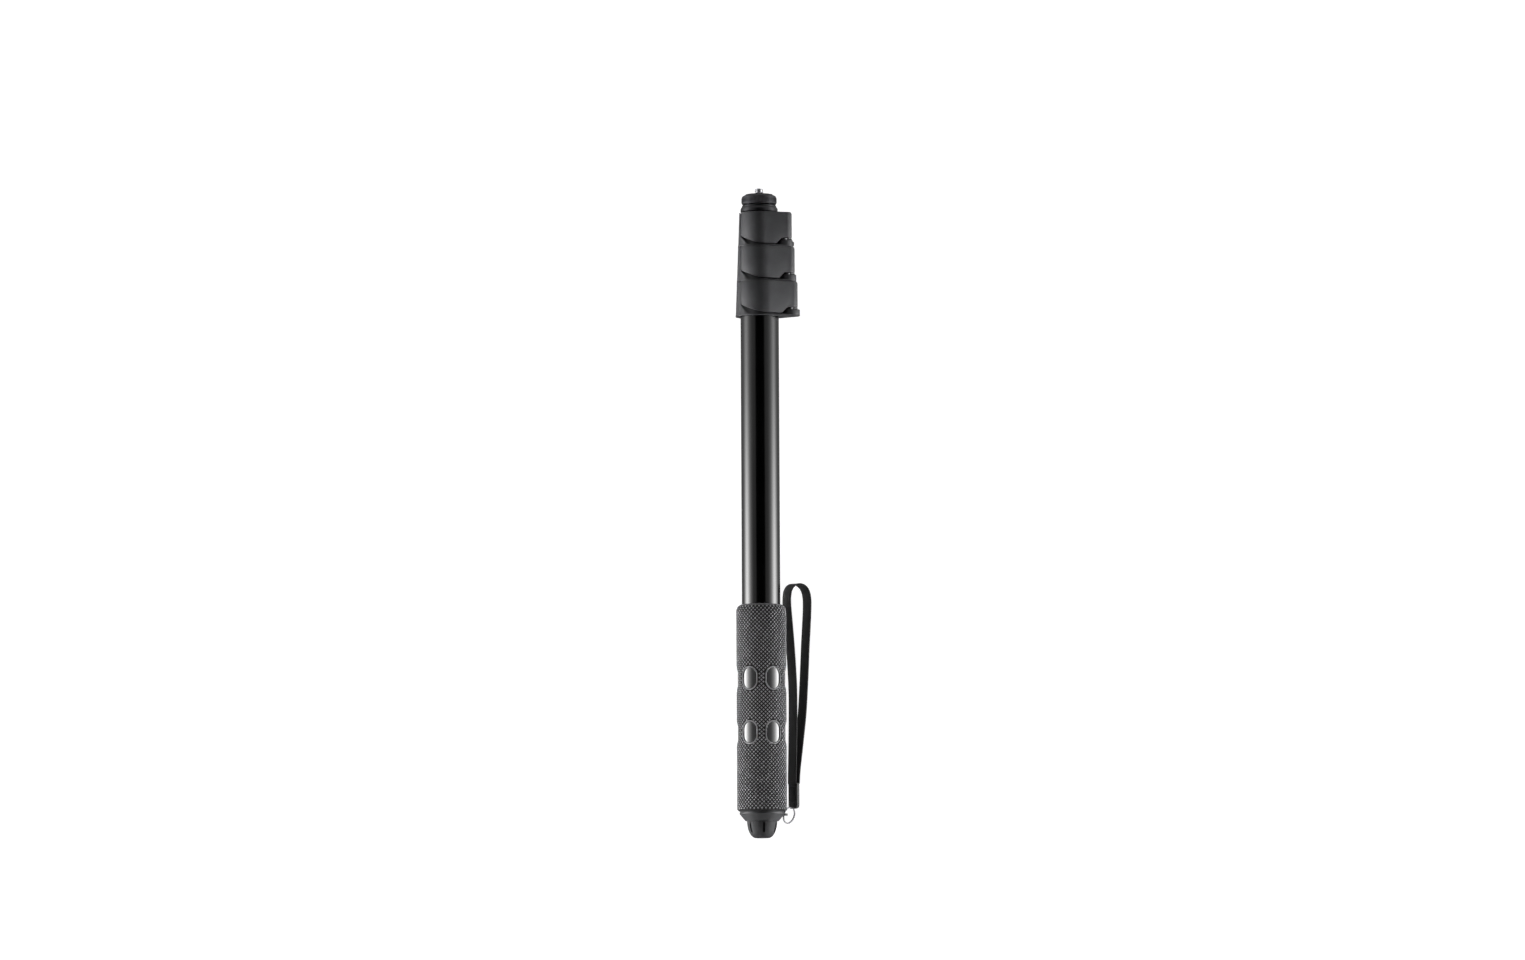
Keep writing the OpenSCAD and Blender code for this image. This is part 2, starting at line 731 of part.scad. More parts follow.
module wrist_strap() {
    middle = concat(
        [for (i = [0:strap_last - 1], s = [0:strap_steps - 1]) route_curve(i, s / strap_steps)],
        [strap_route[strap_last]]
    );
    last = len(middle) - 1;
    heading = [for (i = [0:last])
        i == 0 ? [0, 1, 0] : i == last ? [0, -1, 0] : unit(middle[i + 1] - middle[i - 1])];
    half_w = strap_w / 2;
    half_t = strap_t / 2;
    section = [
        [half_w, half_t - strap_edge], [half_w - strap_edge, half_t],
        [strap_edge - half_w, half_t], [-half_w, half_t - strap_edge],
        [-half_w, strap_edge - half_t], [strap_edge - half_w, -half_t],
        [half_w - strap_edge, -half_t], [half_w, strap_edge - half_t]
    ];
    sides = len(section);
    points = [for (i = [0:last], p = section)
        middle[i] + p[0] * strap_up + p[1] * unit(cross(heading[i], strap_up))];
    walls = [for (i = [0:last - 1], j = [0:sides - 1], f = [0, 1])
        let (a = i * sides + j, b = i * sides + (j + 1) % sides)
        f == 0 ? [a, b, b + sides] : [a, b + sides, a + sides]];
    ends = [for (j = [1:sides - 2], f = [0, 1])
        f == 0 ? [0, j + 1, j] : [last * sides, last * sides + j, last * sides + j + 1]];
    color("#1a1a1b") polyhedron(points, concat(walls, ends));
}

module ring_shape(r) {
    translate(ring_at) rotate([0, ring_dip, -ring_out]) rotate_extrude() translate([ring_r, 0]) circle(r);
}

module strap_tab() {
    length = tab_high - tab_low;
    color("#202021") difference() {
        translate([tab_at[0], tab_low, tab_at[2]]) rotate([0, strap_lean - 90, 0])
            translate([0, 0, -tab_t / 2]) linear_extrude(tab_t) {
                translate([-tab_w / 2, tab_round]) square([tab_w, length - tab_round]);
                translate([tab_round - tab_w / 2, 0]) square([tab_w - 2 * tab_round, tab_round]);
                for (s = [-1, 1]) translate([s * (tab_w / 2 - tab_round), tab_round]) circle(tab_round);
            }
        ring_shape(wire_r + shoe_clear);
    }
}

module split_ring() {
    color("#c4c4c6") ring_shape(wire_r);
}

foot();
foot_stud();
end_cap();
cap_plug();
grip_core();
grip_sleeve();
main_tube();
inner_tube(2);  // second_tube
inner_tube(3);  // third_tube
inner_tube(4);  // top_tube
tube_guide(2);  // second_tube_guide
tube_guide(3);  // third_tube_guide
tube_guide(4);  // top_tube_guide
lock_collar(1);  // lower_lock_collar
lock_lever(1);  // lower_lock_lever
lock_pin(1);  // lower_lock_pin
lock_shoe(1);  // lower_lock_shoe
lock_bush(1);  // lower_lock_bush
lock_screw(1);  // lower_lock_screw
lock_collar(2);  // middle_lock_collar
lock_lever(2);  // middle_lock_lever
lock_pin(2);  // middle_lock_pin
lock_shoe(2);  // middle_lock_shoe
lock_bush(2);  // middle_lock_bush
lock_screw(2);  // middle_lock_screw
lock_collar(3);  // upper_lock_collar
lock_lever(3);  // upper_lock_lever
lock_pin(3);  // upper_lock_pin
lock_shoe(3);  // upper_lock_shoe
lock_bush(3);  // upper_lock_bush
lock_screw(3);  // upper_lock_screw
head_flange();
thrust_washer();
platform_disc();
platform_pad();
camera_screw();
screw_nut();
wrist_strap();
strap_tab();
split_ring();
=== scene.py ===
import bpy
import bmesh
import math
from mathutils import Matrix, Quaternion, Vector


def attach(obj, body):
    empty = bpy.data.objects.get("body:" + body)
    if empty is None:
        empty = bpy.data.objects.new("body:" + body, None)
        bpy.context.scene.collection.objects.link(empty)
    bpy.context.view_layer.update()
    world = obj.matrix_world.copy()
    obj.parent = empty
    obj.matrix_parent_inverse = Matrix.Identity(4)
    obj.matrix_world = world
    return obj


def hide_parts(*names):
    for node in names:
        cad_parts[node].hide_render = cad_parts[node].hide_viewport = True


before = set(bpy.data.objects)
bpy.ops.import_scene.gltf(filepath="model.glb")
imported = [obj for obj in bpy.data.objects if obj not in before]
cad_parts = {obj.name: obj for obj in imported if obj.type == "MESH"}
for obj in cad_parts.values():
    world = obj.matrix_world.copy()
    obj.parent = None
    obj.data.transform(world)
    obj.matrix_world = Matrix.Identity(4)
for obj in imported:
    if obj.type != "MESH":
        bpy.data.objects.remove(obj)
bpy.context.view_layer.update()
scene = bpy.context.scene
scene.view_settings.view_transform = "Standard"
mm = 0.001
print("frame loaded,", len(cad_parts), "nodes")

# camera: far above the pole, a little past its foot, so the locks show their undersides
shot = {
    "eye": (0.0015, -0.26, 6.0),
    "aim": (0.0015, 0.261, 0.0),
    "lens": 195.1,
    "sensor": 36,
    "lean": 0.29,  # degrees, the pole's head leans to the left
}


def placeCamera():
    data = bpy.data.cameras.new("shotCamera")
    data.lens = shot["lens"]
    data.sensor_width = shot["sensor"]
    cam = bpy.data.objects.new("shotCamera", data)
    scene.collection.objects.link(cam)
    eye = Vector(shot["eye"])
    look = (Vector(shot["aim"]) - eye).to_track_quat("-Z", "Y")
    turn = Quaternion((0, 0, 1), -math.radians(shot["lean"]))
    cam.location = eye
    cam.rotation_mode = "QUATERNION"
    cam.rotation_quaternion = look @ turn
    scene.camera = cam


placeCamera()
print("camera placed")


# nodes and colours
def toLinear(hexColour):
    channels = [int(hexColour[i:i + 2], 16) / 255 for i in (1, 3, 5)]
    return [c / 12.92 if c <= 0.04045 else ((c + 0.055) / 1.055) ** 2.4 for c in channels] + [1.0]


def addNode(tree, kind, settings=None, links=None):
    node = tree.nodes.new(kind)
    for key, value in (settings or {}).items():
        if isinstance(key, str) and hasattr(node, key):
            setattr(node, key, value)
        else:
            node.inputs[key].default_value = value
    for key, source in (links or {}).items():
        tree.links.new(source, node.inputs[key])
    return node


# stops of a colour ramp, each a place and a colour
def setRamp(node, stops):
    elements = node.color_ramp.elements
    while len(elements) < len(stops):
        elements.new(0.5)
    for stop, (place, colour) in zip(elements, stops):
        stop.position = place
        stop.color = colour


def newMaterial(name):
    mat = bpy.data.materials.new(name)
    mat.use_nodes = True
    mat.node_tree.nodes.clear()
    tree = mat.node_tree
    shader = addNode(tree, "ShaderNodeBsdfPrincipled")
    addNode(tree, "ShaderNodeOutputMaterial", links={"Surface": shader.outputs["BSDF"]})
    coords = addNode(tree, "ShaderNodeTexCoord")
    return mat, tree, shader, coords


# sockets of a colour mix node, and the shader inputs that a look may set
mixSocket = {"share": 0, "first": 6, "second": 7, "result": 2}
lookInputs = {
    "specular": "Specular IOR Level", "metallic": "Metallic",
    "coat": "Coat Weight", "coatRough": "Coat Roughness",
    "waxy": "Subsurface Weight", "waxyDeep": "Subsurface Scale",
    "sheen": "Sheen Weight", "sheenRough": "Sheen Roughness",
}


def setInputs(shader, look):
    for key, socket in lookInputs.items():
        if key in look:
            shader.inputs[socket].default_value = look[key]


# two-tone speckle plus a fine bump: what moulding, dust and handling leave on a surface
grain = {
    "detail": 4.0, "roughness": 0.6, "cloudDetail": 2.0, "darkAt": 0.12, "lightAt": 0.42,
    "smoother": 0.05, "rougher": 0.07,
}


def speckle(tree, shader, coords, look):
    place = {"Vector": coords.outputs["Object"]}
    noise = addNode(tree, "ShaderNodeTexNoise",
                    {"Scale": 1 / (look["grainMm"] * mm), "Detail": grain["detail"],
                     "Roughness": grain["roughness"]}, place)
    cloud = addNode(tree, "ShaderNodeTexNoise",
                    {"Scale": 1 / (look["cloudMm"] * mm), "Detail": grain["cloudDetail"]}, place)
    blend = addNode(tree, "ShaderNodeMath", {"operation": "MULTIPLY"},
                    {0: noise.outputs["Fac"], 1: cloud.outputs["Fac"]})
    colour = addNode(tree, "ShaderNodeValToRGB", links={"Fac": blend.outputs["Value"]})
    setRamp(colour, ((grain["darkAt"], toLinear(look["dark"])),
                     (grain["lightAt"], toLinear(look["light"]))))
    tree.links.new(colour.outputs["Color"], shader.inputs["Base Color"])
    rough = addNode(tree, "ShaderNodeMapRange",
                    {"To Min": look["rough"] - grain["smoother"],
                     "To Max": look["rough"] + grain["rougher"]}, {"Value": cloud.outputs["Fac"]})
    tree.links.new(rough.outputs["Result"], shader.inputs["Roughness"])
    bump = addNode(tree, "ShaderNodeBump", {"Strength": look["bump"], "Distance": look["bumpMm"] * mm},
                   {"Height": noise.outputs["Fac"]})
    tree.links.new(bump.outputs["Normal"], shader.inputs["Normal"])
    setInputs(shader, look)
    return colour.outputs["Color"], bump.outputs["Normal"]


def speckled(name, look):
    mat, tree, shader, coords = newMaterial(name)
    speckle(tree, shader, coords, look)
    return mat


# grip sleeve: moulded thermoplastic rubber, its own grey on the pips' tips and painted shade at their roots
gripLook = {
    "dark": "#707072", "light": "#8a8a8c", "grainMm": 0.5, "cloudMm": 9, "rough": 0.72,
    "bump": 0.35, "bumpMm": 0.06, "specular": 0.35, "rootShade": "#0e0e0f", "unshadedFrom": 0.35, "unshadedTo": 0.9,
}
gripRubber, tree, shader, coords = newMaterial("mouldedGripRubber")
gripTone, _ = speckle(tree, shader, coords, gripLook)
gripUnshaded = addNode(tree, "ShaderNodeAttribute", {"attribute_name": "unshaded"})
gripOutOfShade = addNode(tree, "ShaderNodeMapRange",
                   {"From Min": gripLook["unshadedFrom"], "From Max": gripLook["unshadedTo"]},
                   {"Value": gripUnshaded.outputs["Fac"]})
# painted shade at the pips' roots, blending into the rubber's own grey towards their tips
gripMix = addNode(tree, "ShaderNodeMix",
                  {"data_type": "RGBA", mixSocket["first"]: toLinear(gripLook["rootShade"])},
                  {mixSocket["share"]: gripOutOfShade.outputs["Result"], mixSocket["second"]: gripTone})
tree.links.new(gripMix.outputs[mixSocket["result"]], shader.inputs["Base Color"])

# floor of the knurl: the same rubber, painted near black as the shade that falls between the pips
# the plain lips above and below the knurl keep the rubber's own grey
pitLook = {
    "dark": "#0a0a0b", "light": "#131314", "grainMm": 0.6, "cloudMm": 7, "rough": 0.82,
    "bump": 0.3, "bumpMm": 0.05, "specular": 0.25,
    "lip": "#5e5e60", "middleMm": 93.9, "knurlToMm": 74.6, "lipFromMm": 75.2,
}
knurlFloorShade, tree, shader, coords = newMaterial("knurlFloorPaintedShade")
pitTone, _ = speckle(tree, shader, coords, pitLook)
pitSplit = addNode(tree, "ShaderNodeSeparateXYZ", links={"Vector": coords.outputs["Object"]})
pitMiddle = addNode(tree, "ShaderNodeMath", {"operation": "SUBTRACT", 1: pitLook["middleMm"] * mm},
                    {0: pitSplit.outputs["Y"]})
pitAway = addNode(tree, "ShaderNodeMath", {"operation": "ABSOLUTE"}, {0: pitMiddle.outputs["Value"]})
pitBand = addNode(tree, "ShaderNodeMapRange",
                  {"From Min": pitLook["knurlToMm"] * mm, "From Max": pitLook["lipFromMm"] * mm},
                  {"Value": pitAway.outputs["Value"]})
# painted shade inside the knurl band, the rubber's own grey on the lips outside it
pitMix = addNode(tree, "ShaderNodeMix",
                 {"data_type": "RGBA", mixSocket["second"]: toLinear(pitLook["lip"])},
                 {mixSocket["share"]: pitBand.outputs["Result"], mixSocket["first"]: pitTone})
tree.links.new(pitMix.outputs[mixSocket["result"]], shader.inputs["Base Color"])

# foot: harder moulded rubber, dull and near black
footLook = {
    "dark": "#161617", "light": "#222224", "grainMm": 0.7, "cloudMm": 5, "rough": 0.66,
    "bump": 0.4, "bumpMm": 0.06, "specular": 0.25,
}
footRubber = speckled("mouldedFootRubber", footLook)

# pad on the platform: soft rubber with fine moulded rings to hold a camera
padLook = {
    "dark": "#161617", "light": "#232324", "grainMm": 0.4, "cloudMm": 4, "rough": 0.8,
    "bump": 0.3, "bumpMm": 0.04, "ringMm": 1.0, "ringBump": 0.7, "ringDeepMm": 0.2,
}
padRubber, tree, shader, coords = newMaterial("ringedPadRubber")
_, padGrain = speckle(tree, shader, coords, padLook)
padSplit = addNode(tree, "ShaderNodeSeparateXYZ", links={"Vector": coords.outputs["Object"]})
padFlat = addNode(tree, "ShaderNodeCombineXYZ",
                  links={"X": padSplit.outputs["X"], "Y": padSplit.outputs["Z"]})
padRadius = addNode(tree, "ShaderNodeVectorMath", {"operation": "LENGTH"}, {0: padFlat.outputs["Vector"]})
padTurns = addNode(tree, "ShaderNodeMath",
                   {"operation": "MULTIPLY", 1: 2 * math.pi / (padLook["ringMm"] * mm)},
                   {0: padRadius.outputs["Value"]})
padRings = addNode(tree, "ShaderNodeMath", {"operation": "SINE"}, {0: padTurns.outputs["Value"]})
padGroove = addNode(tree, "ShaderNodeBump",
                    {"Strength": padLook["ringBump"], "Distance": padLook["ringDeepMm"] * mm},
                    {"Height": padRings.outputs["Value"], "Normal": padGrain})
tree.links.new(padGroove.outputs["Normal"], shader.inputs["Normal"])

# end cap: moulded ABS with a satin tool finish
capLook = {
    "dark": "#18181a", "light": "#232325", "grainMm": 0.35, "cloudMm": 6, "rough": 0.45,
    "bump": 0.25, "bumpMm": 0.03, "specular": 0.35,
}
capAbs = speckled("satinAbs", capLook)

# locks: glass-filled nylon with a spark-eroded grain, dull with a soft sheen
lockLook = {
    "dark": "#252527", "light": "#323234", "grainMm": 0.45, "cloudMm": 8, "rough": 0.52,
    "bump": 0.4, "bumpMm": 0.04, "specular": 0.3,
}
lockNylon = speckled("glassFilledNylon", lockLook)

# gloss core seen through the grip's windows: polished black ABS
coreLook = {
    "dark": "#070708", "light": "#0d0d0e", "grainMm": 2.0, "cloudMm": 20, "rough": 0.14,
    "bump": 0.05, "bumpMm": 0.02, "coat": 0.6, "coatRough": 0.06,
}
coreAbs = speckled("polishedAbs", coreLook)

# tubes: drawn aluminium under gloss black lacquer, with a trace of orange peel
tubeLook = {
    "dark": "#020202", "light": "#050506", "grainMm": 3.0, "cloudMm": 30, "rough": 0.12,
    "bump": 0.01, "bumpMm": 0.01,
}
tubePaint = speckled("glossBlackLacquer", tubeLook)

# head: turned and anodised aluminium, black with a satin metal sheen and faint lathe lines
headLook = {
    "dark": "#2a2a2c", "light": "#3a3a3d", "grainMm": 0.6, "cloudMm": 9, "rough": 0.36,
    "bump": 0.15, "bumpMm": 0.02, "metallic": 0.75,
    "latheMm": 0.4, "latheWander": 0.6, "latheBump": 0.15, "latheDeepMm": 0.05,
    "waveUnit": 0.31,  # a wave texture of scale 1 repeats about this often
}
headAnodised, tree, shader, coords = newMaterial("anodisedAluminium")
_, headGrain = speckle(tree, shader, coords, headLook)
headWave = addNode(tree, "ShaderNodeTexWave",
                   {"wave_type": "BANDS", "bands_direction": "Y", "Distortion": headLook["latheWander"],
                    "Scale": headLook["waveUnit"] / (headLook["latheMm"] * mm)},
                   {"Vector": coords.outputs["Object"]})
headLines = addNode(tree, "ShaderNodeBump",
                    {"Strength": headLook["latheBump"], "Distance": headLook["latheDeepMm"] * mm},
                    {"Height": headWave.outputs["Fac"], "Normal": headGrain})
tree.links.new(headLines.outputs["Normal"], shader.inputs["Normal"])

# flange: the same metal, polished before it was anodised
flangeLook = {
    "dark": "#1e1e20", "light": "#2c2c2e", "grainMm": 0.6, "cloudMm": 9, "rough": 0.22,
    "bump": 0.1, "bumpMm": 0.01, "metallic": 0.6,
}
flangeAnodised = speckled("polishedAnodisedAluminium", flangeLook)

# inner fittings: natural nylon, waxy and slightly translucent
nylonLook = {
    "dark": "#b9b6ac", "light": "#d3d0c7", "grainMm": 0.8, "cloudMm": 6, "rough": 0.5,
    "bump": 0.2, "bumpMm": 0.03, "waxy": 0.1, "waxyDeep": 0.002,
}
naturalNylon = speckled("naturalNylon", nylonLook)

# pins and stud: zinc-plated steel, grey and slightly cloudy
zincLook = {
    "dark": "#8f8f92", "light": "#b4b4b7", "grainMm": 0.4, "cloudMm": 3, "rough": 0.34,
    "bump": 0.15, "bumpMm": 0.02, "metallic": 1.0,
}
zincSteel = speckled("zincPlatedSteel", zincLook)

# camera screw: bright turned steel, finely grained
screwLook = {
    "dark": "#b2b2b5", "light": "#d6d6d9", "grainMm": 0.3, "cloudMm": 2, "rough": 0.24,
    "bump": 0.12, "bumpMm": 0.015, "metallic": 1.0,
}
screwSteel = speckled("turnedSteel", screwLook)

# retaining screws: steel blackened by a hot oxide bath
oxideLook = {
    "dark": "#151516", "light": "#242426", "grainMm": 0.3, "cloudMm": 2, "rough": 0.4,
    "bump": 0.15, "bumpMm": 0.02, "metallic": 0.9,
}
oxideSteel = speckled("blackOxideSteel", oxideLook)

# split ring: nickel-plated spring wire, dulled by wear
nickelLook = {
    "dark": "#353537", "light": "#5c5c5e", "grainMm": 0.5, "cloudMm": 3, "rough": 0.18,
    "bump": 0.08, "bumpMm": 0.01, "metallic": 1.0,
}
nickelWire = speckled("nickelPlatedWire", nickelLook)

# strap: black polyester webbing in plain weave
# the threads are 0.5 mm and are drawn 0.9 mm wide so that they show
webLook = {
    "dark": "#060607", "light": "#161617", "darkAt": 0.05, "lightAt": 0.6, "rough": 0.75,
    "threadMm": 0.9, "fuzzMm": 2.5, "fuzzDetail": 5.0, "bump": 0.6, "bumpMm": 0.2,
    "sheen": 0.12, "sheenRough": 0.5,
}
webbing, tree, shader, coords = newMaterial("polyesterWebbing")
webUv = addNode(tree, "ShaderNodeSeparateXYZ", links={"Vector": coords.outputs["UV"]})
webWaves = []
for axis in ("X", "Y"):
    webTurns = addNode(tree, "ShaderNodeMath",
                       {"operation": "MULTIPLY", 1: math.pi / (webLook["threadMm"] * mm)},
                       {0: webUv.outputs[axis]})
    webSine = addNode(tree, "ShaderNodeMath", {"operation": "SINE"}, {0: webTurns.outputs["Value"]})
    webWaves.append(webSine.outputs["Value"])
webCross = addNode(tree, "ShaderNodeMath", {"operation": "MULTIPLY"}, {0: webWaves[0], 1: webWaves[1]})
webHeight = addNode(tree, "ShaderNodeMapRange", {"From Min": -1.0, "From Max": 1.0},
                    {"Value": webCross.outputs["Value"]})
webFuzz = addNode(tree, "ShaderNodeTexNoise",
                  {"Scale": 1 / (webLook["fuzzMm"] * mm), "Detail": webLook["fuzzDetail"]},
                  {"Vector": coords.outputs["Object"]})
webTone = addNode(tree, "ShaderNodeMath", {"operation": "MULTIPLY"},
                  {0: webHeight.outputs["Result"], 1: webFuzz.outputs["Fac"]})
webColour = addNode(tree, "ShaderNodeValToRGB", links={"Fac": webTone.outputs["Value"]})
setRamp(webColour, ((webLook["darkAt"], toLinear(webLook["dark"])),
                    (webLook["lightAt"], toLinear(webLook["light"]))))
tree.links.new(webColour.outputs["Color"], shader.inputs["Base Color"])
webBump = addNode(tree, "ShaderNodeBump", {"Strength": webLook["bump"], "Distance": webLook["bumpMm"] * mm},
                  {"Height": webHeight.outputs["Result"]})
tree.links.new(webBump.outputs["Normal"], shader.inputs["Normal"])
shader.inputs["Roughness"].default_value = webLook["rough"]
setInputs(shader, webLook)

# thread in the sewn tab: waxed black polyester, a little brighter than the webbing
threadLook = {
    "dark": "#1d1d1f", "light": "#323235", "grainMm": 0.25, "cloudMm": 2, "rough": 0.5,
    "bump": 0.5, "bumpMm": 0.05,
}
waxedThread = speckled("waxedThread", threadLook)
print("materials made:", len(bpy.data.materials))


# shared tools for new pieces
def finishPiece(bm, name, material, body, sharpAngle=35):
    bmesh.ops.recalc_face_normals(bm, faces=bm.faces[:])
    mesh = bpy.data.meshes.new(name)
    bm.to_mesh(mesh)
    bm.free()
    mesh.materials.append(material)
    for face in mesh.polygons:
        face.use_smooth = True
    mesh.set_sharp_from_angle(angle=math.radians(sharpAngle))
    piece = bpy.data.objects.new(name, mesh)
    scene.collection.objects.link(piece)
    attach(piece, body)
    return piece


# extrudes a closed ring of points from one station to the next, then caps the two ends or joins them
def sweepRings(bm, rings, closed=False):
    first = [bm.verts.new(p) for p in rings[0]]
    edges = [bm.edges.new((first[i], first[(i + 1) % len(first)])) for i in range(len(first))]
    loops = [list(edges)]
    current, order = edges, first
    for ring in rings[1:]:
        made = bmesh.ops.extrude_edge_only(bm, edges=current)["geom"]
        fresh = {}
        newEdges = [g for g in made if isinstance(g, bmesh.types.BMEdge)]
        newVerts = set(g for g in made if isinstance(g, bmesh.types.BMVert))
        for vert in order:
            others = (e.other_vert(vert) for e in vert.link_edges)
            fresh[vert] = next(other for other in others if other in newVerts)
        order = [fresh[v] for v in order]
        for vert, p in zip(order, ring):
            vert.co = p
        current = [e for e in newEdges if e.verts[0] in newVerts and e.verts[1] in newVerts]
        loops.append(list(current))
    if closed:
        bmesh.ops.bridge_loops(bm, edges=loops[0] + loops[-1])
    else:
        bmesh.ops.contextual_create(bm, geom=loops[0])
        bmesh.ops.contextual_create(bm, geom=loops[-1])


# a smooth curve through all the points, with this many steps from each to the next
def smoothRoute(points, steps):
    route = []
    last = len(points) - 1
    for i in range(last):
        a, b, c, d = (Vector(points[min(max(i + j, 0), last)]) for j in (-1, 0, 1, 2))
        for s in range(steps):
            t = s / steps
            bend = (2 * a - 5 * b + 4 * c - d) * t ** 2
            twist = (3 * b - a - 3 * c + d) * t ** 3
            route.append(0.5 * (2 * b + (c - a) * t + bend + twist))
    route.append(Vector(points[last]))
    return route


# wrist strap: one length of flat webbing, both ends sewn into the tab
strap = {
    "width": 8.5,
    "thick": 1.2,
    "lean": 45,
    "steps": 5,
    "faceShift": 0.3,  # how far the weave of one face is set off from the other's
    # half of the section, in shares: rounded selvedges, and a face a touch thinner than they are
    "section": [
        (1.0, 0.0), (0.985, 0.6), (0.93, 1.0), (0.82, 0.9), (0.4, 0.82),
        (0.0, 0.8), (-0.4, 0.82), (-0.82, 0.9), (-0.93, 1.0), (-0.985, 0.6),
    ],
    "route": [
        (22.0, 40, -13.2), (22.2, 50, -13.3), (22.5, 65, -13.7), (22.8, 85, -13.9),
        (22.9, 105, -13.9), (22.3, 122, -13.9), (21.2, 140, -13.9), (20.0, 156, -13.9),
        (19.0, 168, -13.9), (18.8, 175, -13.9), (19.6, 181, -13.9), (22.0, 184.6, -13.9),
        (25.6, 185.8, -13.9), (29.4, 184.6, -13.9), (32.2, 181, -13.9), (33.5, 175, -13.9),
        (33.5, 166, -13.9), (32.9, 154, -13.9), (32.1, 140, -13.9), (31.4, 124, -13.9),
        (30.6, 108, -13.9), (29.6, 92, -13.9), (28.2, 78, -13.9), (26.4, 62, -13.7),
        (25.0, 50, -13.3), (24.4, 40, -13.2),
    ],
}
strapUp = Vector((math.sin(math.radians(strap["lean"])), 0, math.cos(math.radians(strap["lean"]))))


def makeStrap():
    line = smoothRoute([Vector(p) * mm for p in strap["route"]], strap["steps"])
    halfW, halfT = strap["width"] * mm / 2, strap["thick"] * mm / 2
    section = strap["section"] + [(-u, -v) for u, v in strap["section"]]
    rings = []
    for i, p in enumerate(line):
        if i == 0 or i == len(line) - 1:
            heading = Vector((0, 1, 0)) if i == 0 else Vector((0, -1, 0))
        else:
            heading = (line[i + 1] - line[i - 1]).normalized()
        side = heading.cross(strapUp).normalized()
        rings.append([p + strapUp * (u * halfW) + side * (v * halfT) for u, v in section])
    bm = bmesh.new()
    sweepRings(bm, rings)
    # texture runs in metres along and across the webbing
    distance = [0.0]
    for a, b in zip(line, line[1:]):
        distance.append(distance[-1] + (b - a).length)
    uvLayer = bm.loops.layers.uv.new("weave")
    spot = {}
    for r, ring in enumerate(rings):
        for k, p in enumerate(ring):
            spot[tuple(round(c, 9) for c in p)] = (r, k)
    for face in bm.faces:
        for loop in face.loops:
            r, k = spot.get(tuple(round(c, 9) for c in loop.vert.co), (0, 0))
            u, v = section[k]
            shift = strap["faceShift"] * mm if v > 0 else 0
            loop[uvLayer].uv = (u * halfW + shift, distance[r])
    piece = finishPiece(bm, "wristStrap", webbing, "strap", sharpAngle=60)
    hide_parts("wrist_strap")
    return piece, line, distance[-1]


strapPiece, strapLine, strapLength = makeStrap()
print("strap made, length", round(strapLength, 4))

# sewn tab: the two ends folded into a sleeve of the same webbing, closed by a box of stitches
tab = {
    "width": 9.0, "thick": 3.0, "low": 21.9, "high": 40.4, "corner": 2.5, "cornerSteps": 6,
    "round": 0.55, "roundSteps": 3, "roundFrom": 1.0,  # radians between two faces
    "stitchLong": 1.5, "stitchFill": 0.8, "stitchWide": 0.42, "stitchTall": 0.3,
    "stitchRound": 0.13, "stitchSteps": 2, "stitchLean": 6, "stitchOut": 0.02,
    "inset": 1.1, "rows": (26.5, 38.2),
}
tabMid = (Vector(strap["route"][0]) + Vector(strap["route"][-1])) / 2
tabOut = Vector((-strapUp.z, 0, strapUp.x))


def tabPlace(across, along, out):
    middle = Vector((tabMid.x, 0, tabMid.z)) * mm
    return middle + strapUp * (across * mm) + Vector((0, along * mm, 0)) + tabOut * (out * mm)


def makeTab():
    bm = bmesh.new()
    half, corner = tab["width"] / 2, tab["corner"]
    outline = [(half, tab["high"])]
    for i in range(tab["cornerSteps"] + 1):
        a = math.radians(-90 * i / tab["cornerSteps"])
        outline.append((half - corner + corner * math.cos(a), tab["low"] + corner + corner * math.sin(a)))
    outline = outline + [(-x, y) for x, y in reversed(outline)]
    low = [bm.verts.new(tabPlace(x, y, -tab["thick"] / 2)) for x, y in outline]
    base = bm.faces.new(low)
    made = bmesh.ops.extrude_face_region(bm, geom=[base])["geom"]
    lift = tabPlace(0, 0, tab["thick"]) - tabPlace(0, 0, 0)
    bmesh.ops.translate(bm, verts=[g for g in made if isinstance(g, bmesh.types.BMVert)], vec=lift)
    folds = [e for e in bm.edges if len(e.link_faces) == 2 and e.calc_face_angle() > tab["roundFrom"]]
    bmesh.ops.bevel(bm, geom=folds, offset=tab["round"] * mm, segments=tab["roundSteps"], profile=0.5,
                    affect="EDGES", material=-1)
    uvLayer = bm.loops.layers.uv.new("weave")
    for face in bm.faces:
        for loop in face.loops:
            p = loop.vert.co - tabPlace(0, 0, 0)
            loop[uvLayer].uv = (p.dot(strapUp), p.y)
    piece = finishPiece(bm, "strapTab", webbing, "strap", sharpAngle=50)
    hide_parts("strap_tab")
    return piece


